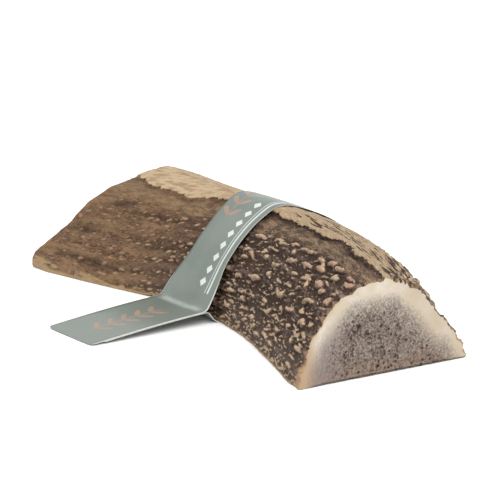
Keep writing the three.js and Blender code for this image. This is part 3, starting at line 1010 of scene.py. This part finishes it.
# near both feet the skin is greyer and the tiny beads are closer together
foot_line = mix.plus(mix.number("from_foot"), mix.times(patches, 5.0))
low_zone = mix.ramp(foot_line, 12.0, 4.0)
bead_share = mix.ramp(mix.shake(bead, fine, 0.7), 0.35, 0.85)
bead_share = mix.times(bead_share, mix.plus(0.32, mix.times(low_zone, 0.58)))
skin = mix.blend(
    mix.times(low_zone, 0.40), skin, mix.blend(fine, "4a3d36", "75645a"))
skin = mix.blend(bead_share, skin, mix.blend(bead_kind, "9d8670", "bfa98f"))
print("dark skin:", len(mix.tree.nodes), "nodes")

# %% Browner skin of the far part
far_skin = mix.blend(mix.ramp(grain, 0.36, 0.66), "4a3526", "735942")
far_skin = mix.coat(far_skin, "84684d", patches, 0.42, 0.66, 0.55)
# hollows of the relief darkened: partly the dark coat in them, partly painted shade
far_skin = mix.coat(far_skin, "322318", proud_number, -0.02, -0.2, 0.6)
far_skin = mix.coat(far_skin, "806646", blots, 0.52, 0.66, 0.45)
far_skin = mix.coat(far_skin, "523a30", blots, 0.46, 0.32, 0.50)
skin = mix.blend(far, skin, far_skin)
print("far skin:", len(mix.tree.nodes), "nodes")

# %% Olive stripe, and painted shade in the long hollows
olive = mix.blend(mix.ramp(grain, 0.38, 0.62), "3f2d22", "826b52")
olive = mix.coat(olive, "6c5a44", patches, 0.45, 0.6, 0.55)
olive = mix.coat(olive, "362318", specks, 0.46, 0.36, 0.75)
olive = mix.coat(olive, "a58470", specks, 0.56, 0.66, 0.60)
olive = mix.coat(olive, "8d7452", streaks, 0.52, 0.64, 0.45)
# the stripe is darker towards the furrow
up_number = mix.shake(mix.number("up_the_stripe"), streaks, 0.9)
darker = mix.ramp(up_number, 0.45, 0.85, 0.0, 0.60)
olive = mix.blend(darker, olive, mix.blend(specks, "2e1e17", "6d5042"))
olive = mix.coat(olive, "2e1f18", mix.shake(blots, specks, 0.25), 0.54, 0.42, 0.70)
olive = mix.coat(olive, "8b7455", blots, 0.54, 0.66, 0.45)
olive = mix.blend(mix.times(far, 0.55), olive, "7a6145")
stripe_share = mix.ramp(mix.shake(mix.number("stripe"), fine, 0.9), 0.2, 0.8)
skin = mix.blend(mix.times(stripe_share, 0.92), skin, olive)
# painted shade in the long hollows of the far part
skin = mix.blend(mix.times(mix.number("hollow"), 0.72), skin, "322417")
print("olive stripe:", len(mix.tree.nodes), "nodes")

# %% Worn tops of the pearls, with painted shade and highlight
worn_tops_and_light = mix.blend(mix.number("tone"), "ab9b7e", "aa8269")
worn_tops_and_light = mix.blend(mix.ramp(fine, 0.36, 0.60, 0.65, 0.0), worn_tops_and_light, "7a6352")
worn_tops_and_light = mix.coat(worn_tops_and_light, "cdbb9f", specks, 0.55, 0.7, 0.5)
# painted shade on the lower side of each worn top, and a painted highlight on its upper side
worn_tops_and_light = mix.coat(worn_tops_and_light, "5a483c", flank_number, 0.10, 0.75, 0.60)
worn_tops_and_light = mix.coat(worn_tops_and_light, "c4ae92", flank_number, -0.10, -0.70, 0.35)
worn_tops_and_light = mix.blend(
    mix.times(far, 0.84), worn_tops_and_light, mix.blend(blots, "6a4f40", "86694f"))
top_number = mix.shake(mix.number("pearl"), fine, 0.8)
# painted shade under each bead first, then its worn shoulder, then its top
painted_bead_shade = mix.times(mix.ramp(flank_number, 0.15, 0.8, 0.0, 0.6), near)
skin = mix.blend(painted_bead_shade, skin, "160c08")
skin = mix.coat(skin, "513f33", top_number, 0.22, 0.55, 0.6)
skin = mix.blend(mix.ramp(top_number, 0.45, 0.80), skin, worn_tops_and_light)
print("worn tops:", len(mix.tree.nodes), "nodes")

# %% Cream ridge, its flecks and the furrow
cream = mix.blend(mix.ramp(grain, 0.35, 0.7), "876f54", "aa9577")
cream = mix.coat(cream, "b9a688", threads, 0.50, 0.66, 0.7)
thread_share = mix.times(
    mix.ramp(threads, 0.46, 0.36), mix.plus(mix.times(near, 0.62), 0.08))
cream = mix.blend(thread_share, cream, "5c4634")
cream = mix.coat(cream, "8a6f52", streaks, 0.50, 0.70, 0.35)
cream = mix.blend(mix.times(far, 0.6), cream, "b5a183")
far_blots = mix.times(far, mix.ramp(blots, 0.56, 0.38, 0.0, 0.72))
cream = mix.blend(far_blots, cream, "876a50")
far_streaks = mix.times(far, mix.ramp(streaks, 0.46, 0.34, 0.0, 0.62))
cream = mix.blend(far_streaks, cream, "7a5f49")
ridge_shake = mix.minus(0.9, mix.times(far, 0.55))
ridge_number = mix.shake(mix.number("ridge"), fine, ridge_shake)
skin = mix.blend(mix.ramp(ridge_number, 0.35, 0.65), skin, cream)
fleck_number = mix.shake(mix.number("fleck"), fine, 0.5)
skin = mix.coat(skin, "362418", fleck_number, 0.12, 0.45)
furrow_share = mix.times(mix.number("furrow"), mix.ramp(blots, 0.35, 0.58, 0.35, 1.0))
furrow_share = mix.times(furrow_share, mix.minus(1.0, mix.times(far, 0.45)))
skin = mix.blend(mix.times(furrow_share, 0.66), skin, "2d1f16")
print("ridge:", len(mix.tree.nodes), "nodes")

# %% Worn edges, the painted shadow by the card, and the bark's finish
chipped = mix.shake(mix.number("from_cut"), blots, 5.0)
skin = mix.coat(skin, "957c5f", chipped, 0.55, 0.0, 0.5)
worn_corner = mix.plus(mix.number("from_cut"), mix.times(mix.number("from_foot"), 0.45))
corner_share = mix.ramp(mix.shake(worn_corner, fine, 4.0), 3.6, 2.0, 0.0, 0.85)
skin = mix.blend(mix.times(corner_share, near), skin, "9c8062")
# painted shadow of the card, darkening the bark beside its near edge
skin = mix.blend(mix.times(mix.number("painted_card_shadow"), 0.82), skin, "1f130d")
# the tan line along the foot grows into a patchy band on the far part
far_band = mix.plus(
    mix.ramp(streaks, 0.46, 0.58, 0.0, 0.9),
    mix.ramp(mix.number("from_cut"), 7.0, 1.0, 0.25, 1.1))
foot_number = mix.shake(mix.number("from_foot"), fine, 1.4)
foot_number = mix.minus(foot_number, mix.times(far, far_band))
skin = mix.coat(skin, "97805f", foot_number, 0.55, 0.0, 0.75)

bumps = mix.plus(mix.times(fine, 0.5), mix.times(threads, 0.4))
off_the_ridge = mix.times(mix.ramp(mix.number("ridge"), 0.5, 0.1), 1.1)
bumps = mix.plus(bumps, mix.times(bead, off_the_ridge))
mix.bump(bumps, 0.8, 0.00026)
mix.finish(skin, mix.ramp(fine, 0.3, 0.7, 0.50, 0.74), 0.15)
antler_mesh.materials.append(mix.material)

# %% [markdown]
# ## Cut bone
#
# A sawn end of antler has a dense cream rim, tan at its outer edge, that passes into a grey spongy
# core full of small dark pores. The core could be cut out of the mesh as its own region, but on
# bone the two have no hard border. So one material blends from rim to core by the depth that each
# point carries. Towards the front foot the core is smooth and pale violet grey, and elsewhere the
# border is wide and speckled.

# %% Where the core begins
mix = Recipe("cut_bone")
bone_place = mix.millimetres()
bone_fine = mix.noise(bone_place, 2.1, 4.0, 0.7)
cloud = mix.noise(bone_place, 0.22, 3.0, 0.5)
pores = mix.noise(bone_place, 1.15, 2.0, 0.65)
clusters = mix.noise(bone_place, 0.42, 2.0, 0.6)
speckle = mix.ramp(bone_fine, 0.34, 0.66)
core_number = mix.number("core")
from_front, above, _ = mix.axes(mix.vector("face_place"))
front_side = mix.ramp(mix.plus(from_front, mix.times(cloud, 4.0)), 14.5, 7.5)

clouded_core = mix.shake(core_number, cloud, 3.0)
narrow_border = mix.ramp(mix.shake(clouded_core, speckle, 0.7), -1.6, 1.7)
wide_border = mix.ramp(mix.shake(clouded_core, speckle, -1.5), -1.9, 2.5)
core_share = mix.plus(
    mix.times(narrow_border, front_side),
    mix.times(wide_border, mix.minus(1.0, front_side)))
print("core and rim:", len(mix.tree.nodes), "nodes")

# %% Rim of dense bone
rim = mix.blend(mix.ramp(cloud, 0.35, 0.65), "b4a793", "c0b6a9")
rim = mix.coat(rim, "9b8b74", bone_fine, 0.4, 0.75, 0.30)
rim_line = mix.plus(from_front, mix.times(cloud, 6.0))
rim = mix.coat(rim, "a0907b", rim_line, 22.0, 32.0, 0.46)
tan_corner = mix.ramp(mix.plus(from_front, mix.times(above, 0.35)), 9.0, 4.0)
rim = mix.blend(mix.times(tan_corner, 0.75), rim, "957a5f")
tan_edge = mix.ramp(mix.shake(mix.number("edge"), speckle, 0.5), 1.3, 0.2)
tan_edge = mix.times(tan_edge, mix.times(front_side, 0.55))
rim = mix.blend(tan_edge, rim, "a3855f")
print("rim:", len(mix.tree.nodes), "nodes")

# %% Spongy core
sponge = mix.blend(mix.ramp(bone_fine, 0.36, 0.64), "473b34", "8b7d73")
sponge = mix.coat(sponge, "493b33", clusters, 0.47, 0.66, 0.22)
sponge = mix.coat(sponge, "9a8e83", clusters, 0.48, 0.36, 0.22)
sponge = mix.coat(sponge, "7d6756", above, 4.5, 0.5, 0.45)
smooth_core = mix.ramp(mix.plus(core_number, mix.times(clusters, 1.5)), 4.6, 1.6)
smooth_core = mix.times(smooth_core, mix.plus(0.05, mix.times(front_side, 0.95)))
smooth_core = mix.math("MAXIMUM", smooth_core, mix.times(front_side, 0.8))
core_border = mix.ramp(core_number, 3.5, 0.0, 0.0, 0.50)
sponge = mix.blend(core_border, sponge, mix.blend(speckle, "6b615b", "a3978d"))
sponge = mix.blend(mix.times(smooth_core, 0.65), sponge, "7f7371")
print("sponge:", len(mix.tree.nodes), "nodes")

# %% Pores
PORE_SIZES = [
    # scale, how rare, how dark
    (0.95, 0.55, 0.88),
    (1.7, 0.52, 0.72),
    (2.6, 0.50, 0.55),
]
pore_limit = mix.plus(pores, mix.times(smooth_core, 0.12))
pore_limit = mix.minus(pore_limit, mix.times(mix.minus(clusters, 0.5), 0.08))
sponge = mix.coat(sponge, "2d2019", pore_limit, 0.38, 0.33, 0.45)
for scale, rare, dark in PORE_SIZES:
    distance, kind = mix.cells(bone_place, scale)
    kind = mix.shake(kind, clusters, 0.8)
    kind = mix.plus(kind, mix.ramp(core_number, 0.5, 6.0, -0.10, 0.08))
    kind = mix.minus(kind, mix.times(smooth_core, 0.5))
    dot = mix.times(mix.ramp(distance, 0.34, 0.18), mix.ramp(kind, rare, rare + 0.12))
    sponge = mix.blend(mix.times(dot, dark), sponge, "20150e")
sponge = mix.blend(mix.times(mix.number("pore"), 0.9), sponge, "1e130d")

pits = mix.plus(mix.ramp(pore_limit, 0.30, 0.42), mix.times(bone_fine, 0.7))
mix.bump(mix.times(pits, core_share), 0.8, 0.0003)
mix.finish(mix.blend(core_share, rim, sponge), 0.72, 0.25)
antler_mesh.materials.append(mix.material)

# %% Put the antler in its place
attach(antler_piece, "root")
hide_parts("antler")
print("antler piece stands for the antler's solid")

# %% [markdown]
# ## The card strip
#
# The label is one strip of thin card. It is pulled tight, so it lies on the highest pearls and
# spans the hollows in straight runs. A cloth simulation could find that, but card doesn't drape
# and the run would take long. Its route is found from the finished bark instead: in each upright
# plane along the strip, the card follows the upper hull of the bark below it.

# %% Helpers for the card's route
THICK = 0.15
LAYER_SPACING = 0.165
TAB_BEARING = math.radians(6.3)
CREASE_PLACE, CREASE_HEIGHT = -5.2, 2.85
TAB_LENGTH, TAB_SKEW, TAB_END_HEIGHT = 26.7, -0.3, 0.34
STATIONS = 17


def heading(bearing):
    """The way along a strip with some bearing, on the ground plan."""
    return np.array([math.sin(bearing), math.cos(bearing)])


strip_along = heading(STRIP_BEARING)


def foot_crossing(column, sideways):
    """Distance along the strip at which it crosses the bark's front or back foot."""
    foot_line = bark[:, column, :2] - SHIFT[:2] - STRIP_CENTRE
    order = np.argsort(foot_line @ strip_across)
    sideways_sorted = (foot_line @ strip_across)[order]
    return float(np.interp(sideways, sideways_sorted, (foot_line @ strip_along)[order]))


def upper_hull(run):
    """The corners of the upper hull of (distance, height) rows."""
    hull = []
    for point in run:
        while len(hull) > 1:
            (x_before, y_before), (x_last, y_last) = hull[-2], hull[-1]
            turn = (x_last - x_before) * (point[1] - y_before)
            turn -= (y_last - y_before) * (point[0] - x_before)
            if turn < 0:
                break
            hull.pop()
        hull.append(point)
    return np.array(hull)


def resampled(run, steps):
    """The same line with evenly spaced points."""
    length = np.concatenate([[0], np.cumsum(np.linalg.norm(np.diff(run, axis=0), axis=1))])
    at = np.linspace(0, length[-1], steps + 1)
    return np.stack([np.interp(at, length, run[:, 0]), np.interp(at, length, run[:, 1])], 1)


print("the strip heads", np.round(strip_along, 3))

# %% Tight runs over the bark
OVER_STEPS = 150
BIN = 0.3
flat_places = (bark - SHIFT).reshape(-1, 3)
from_centre = flat_places[:, :2] - STRIP_CENTRE
distance_of, sideways_of = from_centre @ strip_along, from_centre @ strip_across
sideways_stations = np.linspace(-STRIP_WIDTH / 2, STRIP_WIDTH / 2, STATIONS)
foot_distances = []
even_runs = []
for sideways in sideways_stations:
    front, rear = foot_crossing(0, sideways), foot_crossing(-1, sideways)
    close = np.abs(sideways_of - sideways) < 1.3
    bins = np.round((distance_of[close] - front) / BIN).astype(int)
    heights = flat_places[close, 2]
    run = [(CREASE_PLACE, CREASE_HEIGHT - FLAT)]
    for step in range(bins.min(), bins.max() + 1):
        found = heights[bins == step]
        where = front + step * BIN
        if len(found) and where < rear:
            run.append((where, found.max() + THICK / 2 + 0.05))
    run.append((rear + 0.35, 0.0))
    foot_distances.append((front, rear))
    even_runs.append(resampled(upper_hull(run), OVER_STEPS))
even_runs = np.array(even_runs)
print("feet that the strip crosses (mm):", np.round(foot_distances[STATIONS // 2], 1))

# %% Smooth the runs along and across
for _ in range(14):
    even_runs[:, 1:-1] = (even_runs[:, :-2] + 2 * even_runs[:, 1:-1] + even_runs[:, 2:]) / 4
for _ in range(6):
    padded = np.concatenate([even_runs[:1], even_runs, even_runs[-1:]])
    even_runs = (padded[:-2] + 2 * padded[1:-1] + padded[2:]) / 4


def outward_of(runs):
    """Unit vectors that point out of the card, for runs of (distance, height) points."""
    slope = np.gradient(runs, axis=1)
    slope /= np.linalg.norm(slope, axis=2, keepdims=True)
    return np.stack([-slope[..., 1], slope[..., 0]], axis=-1)


# smoothing sinks the card a little, so it is lifted back off the pearls
even_runs += 0.07 * outward_of(even_runs)
middle_run = even_runs[STATIONS // 2]
over_length = np.linalg.norm(np.diff(middle_run, axis=0), axis=1).sum()
print("card over the bark:", round(float(over_length), 1), "mm")

# %% [markdown]
# The strip's whole length is one line: out of the tab's end, up to the crease, over the bark, down
# and back under the split face, up again at the front foot and out along the tab's lower layer.
# Both layers of the tab use the same line, so they can't cut through each other.

# %% Whole length of the card
TAB_STEPS = 44
RUN_STEPS = 270
UNDER_STEPS = 60
FOLD_REACH = 2.4


def card_line(station):
    """(distance, height over the ground) points of the card's middle, and its crease place."""
    front, rear = foot_distances[station]
    over = even_runs[station] + (0, FLAT)
    crease = over[0]
    reach = TAB_LENGTH - TAB_SKEW * sideways_stations[station] / STRIP_WIDTH
    share = np.linspace(0, 1, TAB_STEPS + 1)
    rise = (crease[1] - TAB_END_HEIGHT) * (0.55 * share + 0.45 * np.sin(share * math.pi / 2))
    tab = np.stack([crease[0] - reach * (1 - share), TAB_END_HEIGHT + rise], 1)
    run = resampled(np.vstack([tab[:-1], over]), RUN_STEPS)
    # card folds round a small radius, so only the stretch by the crease is softened
    soft = run.copy()
    for _ in range(9):
        soft[1:-1] = (soft[:-2] + 2 * soft[1:-1] + soft[2:]) / 4
    from_fold = np.linalg.norm(run - crease, axis=1)
    run += (soft - run) * np.exp(-((from_fold / FOLD_REACH) ** 2))[:, None]
    end = over[-1]
    turns = np.radians([30, 60, 90])
    turn_down = np.stack([np.full(3, end[0]), end[1] - (end[1] - THICK / 2) * np.sin(turns)], 1)
    under = np.linspace(end[0] - 0.4, front, UNDER_STEPS)
    under = np.stack([under, np.full(UNDER_STEPS, THICK / 2)], 1)
    below_crease = (crease[0] + 0.6, crease[1] - LAYER_SPACING - 0.25)
    bend = np.array([(front - 0.5, 0.25), (front - 1.2, 0.8), below_crease])
    lower = tab[:3:-1] - (0, LAYER_SPACING)
    return np.vstack([run, turn_down, under, bend, lower]), crease[0]


card_lines = [card_line(station) for station in range(STATIONS)]
routes = np.array([line[0] for line in card_lines])
crease_places = np.array([line[1] for line in card_lines])
step_lengths = np.linalg.norm(np.diff(routes, axis=1), axis=2)
lengths = step_lengths.sum(1)
print("flat length of the strip:", np.round([lengths.min(), lengths.max()], 1), "mm")

# %% Width along the card
CORNER = 1.1
steps = routes.shape[1]
run_length = np.concatenate([np.zeros((STATIONS, 1)), np.cumsum(step_lengths, axis=1)], axis=1)
# the tab's corners are rounded by narrowing the strip towards its ends
from_end = np.minimum(run_length, run_length[:, -1:] - run_length)
short = np.clip(CORNER - from_end, 0, CORNER)
narrowed = 1 - (CORNER - np.sqrt(CORNER**2 - short**2)) / (STRIP_WIDTH / 2)
sideways_grid = sideways_stations[:, None] * narrowed
# the lower layer shows as a hair line beside the upper one
on_lower_tab = ease(np.arange(steps)[None, :], steps - TAB_STEPS, steps - 1)
sideways_grid = sideways_grid + 0.06 * on_lower_tab
# the band is set a little narrower where it climbs the bark
pulled = ease(run_length, TAB_LENGTH + 3, TAB_LENGTH + 12)
pulled = pulled * (1 - ease(run_length, TAB_LENGTH + 30, TAB_LENGTH + 40))
sideways_grid = sideways_grid * (1.015 - 0.10 * pulled) + 0.15 * pulled
widths = np.ptp(sideways_grid, axis=0)
print("strip on the bark:", round(float(widths[pulled.min(axis=0) > 0.99].min()), 1), "mm wide")

# %% Build the card mesh
def card_place(distance, sideways, crease):
    """Place on the ground plan, with the tab turned off at the crease."""
    on_tab = np.minimum(distance - crease, 0)
    run = (distance - on_tab)[..., None] * strip_along + on_tab[..., None] * heading(TAB_BEARING)
    return STRIP_CENTRE + run + sideways[..., None] * strip_across


outward = outward_of(routes)
sheets = []
for side in (1, -1):
    sheet_line = routes + outward * side * THICK / 2
    ground = card_place(sheet_line[..., 0], sideways_grid, crease_places[:, None])
    sheets.append(np.concatenate([ground + SHIFT[:2], sheet_line[..., 1:]], axis=-1))
outer, inner = sheets
outer[..., 2] = np.maximum(outer[..., 2], 0.02)
card_points = np.concatenate([outer.reshape(-1, 3), inner.reshape(-1, 3)])


def card_number(station, step, side):
    """The number of a point of the card; side 0 is the outer sheet and side 1 the inner."""
    return side * STATIONS * steps + station * steps + step


OUTER_FACE, PAPER_FACE = 0, 1
card_faces, card_kinds = [], []
for station in range(STATIONS - 1):
    for step in range(steps - 1):
        ring = [(station, step), (station, step + 1), (station + 1, step + 1), (station + 1, step)]
        card_faces.append([card_number(*corner, 0) for corner in reversed(ring)])
        card_faces.append([card_number(*corner, 1) for corner in ring])
        card_kinds += [OUTER_FACE, PAPER_FACE]
rim_ring = (
    [(0, step) for step in range(steps)]
    + [(station, steps - 1) for station in range(1, STATIONS)]
    + [(STATIONS - 1, step) for step in range(steps - 2, -1, -1)]
    + [(station, 0) for station in range(STATIONS - 2, 0, -1)]
)
for first, second in zip(rim_ring, rim_ring[1:] + rim_ring[:1]):
    card_faces.append([card_number(*first, 0), card_number(*second, 0),
                       card_number(*second, 1), card_number(*first, 1)])
    card_kinds.append(PAPER_FACE)

card_mesh = bpy.data.meshes.new("card_label")
card_mesh.from_pydata([tuple(point * MM) for point in card_points], [], card_faces)
card_mesh.validate()
crease_steps = [np.searchsorted(routes[station, :RUN_STEPS, 0], crease_places[station])
                for station in range(STATIONS)]
from_crease = run_length - run_length[range(STATIONS), crease_steps][:, None]
across_card = np.broadcast_to(sideways_grid, from_crease.shape)
card_places = np.stack([from_crease, across_card, np.zeros_like(from_crease)], axis=-1)
give(card_mesh, "place", np.concatenate([card_places.reshape(-1, 3)] * 2), "FLOAT_VECTOR")
card_mesh.polygons.foreach_set("material_index", np.array(card_kinds, np.int32))
card_mesh.polygons.foreach_set("use_smooth", np.ones(len(card_kinds), bool))
card_label = bpy.data.objects.new("card_label", card_mesh)
scene.collection.objects.link(card_label)
print("card label:", len(card_mesh.polygons), "faces")

# %% [markdown]
# ## Printed card
#
# The card is sage green with a satin face. Paper shows white along its cut edges, and a pale stripe
# along the fold is partly rubbed print and partly a painted highlight. The tab has a painted sheen
# towards its end and painted shade towards the crease. The print is a plain pattern: thin white
# rules beside a row of lozenges up the band, and a faded orange spray of leaves on the tab and on
# the upper band.
# It could be a picture. Drawn from distances along and across the card, it stays sharp at any
# size and follows every bend.

# %% Helpers for the print
mix = Recipe("printed_card")
run, across, _ = mix.axes(mix.vector("place"))
card_mm = mix.millimetres()
fibre = mix.noise(card_mm, 2.2, 3.0, 0.6)
card_cloud = mix.noise(card_mm, 0.12, 2.0, 0.5)
SOFT = 0.05


def between(value, low_end, high_end):
    """1 where the value lies between two ends, with soft edges."""
    rise = mix.ramp(value, low_end - SOFT, low_end + SOFT)
    fall = mix.ramp(value, high_end + SOFT, high_end - SOFT)
    return mix.times(rise, fall)


def aside(value, middle):
    """How far a value is from a middle."""
    return mix.math("ABSOLUTE", mix.minus(value, middle))


def cell(value, start, pitch):
    """Distance in mm from the middle of the nearest of evenly pitched cells."""
    turns = mix.math("DIVIDE", mix.minus(value, start), pitch)
    return mix.times(mix.minus(mix.math("FRACT", turns), 0.5), pitch)


def squared_share(value, size):
    """The square of a value that is counted in sizes."""
    return mix.math("POWER", mix.math("DIVIDE", value, size), 2.0)


def leaf_spray(start, end, middle):
    """A stem with a pair of slanting leaves at every step."""
    local = cell(run, start, 3.2)
    out = mix.minus(aside(across, middle), 1.5)
    long_way = mix.plus(mix.times(local, 0.64), mix.times(out, 0.77))
    short_way = mix.minus(mix.times(out, 0.64), mix.times(local, 0.77))
    leaf = mix.plus(squared_share(long_way, 1.65), squared_share(short_way, 0.56))
    stem = mix.ramp(aside(across, middle), 0.20, 0.10)
    spray = mix.math("MAXIMUM", mix.ramp(leaf, 1.1, 0.85), stem)
    return mix.times(spray, between(run, start, end))


print("print helpers:", len(mix.tree.nodes), "nodes")

# %% Printed card material
sage = mix.blend(mix.ramp(card_cloud, 0.35, 0.65), "616963", "69716a")
sage = mix.coat(sage, "737b73", fibre, 0.35, 0.75, 0.25)
# painted sheen: the tab is lighter towards its end; painted shade: darker on its part nearer the crease
tab_end_sheen = mix.ramp(run, -11.0, -19.0)
tab_crease_shade = mix.times(mix.ramp(run, -17.0, -9.0), mix.ramp(run, -0.8, -3.0))
sage = mix.blend(mix.times(tab_end_sheen, 0.6), sage, "737971")
sage = mix.blend(mix.times(tab_crease_shade, 0.6), sage, "545c50")

rules = mix.plus(between(across, 4.45, 4.65), between(across, 5.25, 5.75))
rules = mix.times(rules, between(run, 3.0, 31.0))
lozenge_run = mix.math("ABSOLUTE", cell(run, 4.0, 2.9))
lozenge = mix.plus(
    mix.math("DIVIDE", lozenge_run, 1.05), mix.math("DIVIDE", aside(across, 2.3), 1.05))
lozenges = mix.times(mix.ramp(lozenge, 1.08, 0.95), between(run, 4.0, 27.2))
white_print = mix.times(mix.plus(rules, lozenges), mix.ramp(fibre, 0.25, 0.5, 0.65, 0.95))
orange_print = mix.math("MAXIMUM", leaf_spray(-21.6, -5.6, 0.4), leaf_spray(20.6, 30.2, -3.4))
orange_print = mix.times(orange_print, mix.ramp(fibre, 0.3, 0.6, 0.22, 0.62))
card_face = mix.blend(orange_print, sage, "a97b5e")
card_face = mix.blend(white_print, card_face, "c3c8c1")

from_middle = mix.math("ABSOLUTE", across)
edge_white = mix.ramp(from_middle, STRIP_WIDTH / 2 - 0.14, STRIP_WIDTH / 2 - 0.05)
fold_distance = mix.math("ABSOLUTE", mix.plus(run, 1.1))
# pale stripe along the fold: partly rubbed print, partly a painted highlight
fold_wear_and_highlight = mix.times(
    mix.ramp(fold_distance, 1.3, 0.1), mix.ramp(fibre, 0.2, 0.7, 0.30, 0.55))
fold_wear_and_highlight = mix.times(fold_wear_and_highlight, mix.ramp(from_middle, 7.0, 5.0))
card_face = mix.blend(fold_wear_and_highlight, card_face, "a9afa8")
card_face = mix.blend(edge_white, card_face, "b9bbb5")
mix.bump(fibre, 0.25, 0.00005)
mix.finish(card_face, 0.34)
card_mesh.materials.append(mix.material)

# %% Bare paper of the edges and the inner side
mix = Recipe("card_paper")
paper_fibre = mix.noise(mix.millimetres(), 2.5, 4.0, 0.6)
paper_run, _, _ = mix.axes(mix.vector("place"))
paper = mix.blend(mix.ramp(paper_fibre, 0.3, 0.7), "adafa8", "c6c8c1")
# the bare paper is darker towards the tab's end
paper = mix.coat(paper, "7b827b", paper_run, 3.9 - TAB_LENGTH, 0.3 - TAB_LENGTH, 0.7)
mix.finish(paper, 0.8)
card_mesh.materials.append(mix.material)

# %% Put the card in its place
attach(card_label, "root")
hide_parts("label")
print("card label stands for the label's solid")
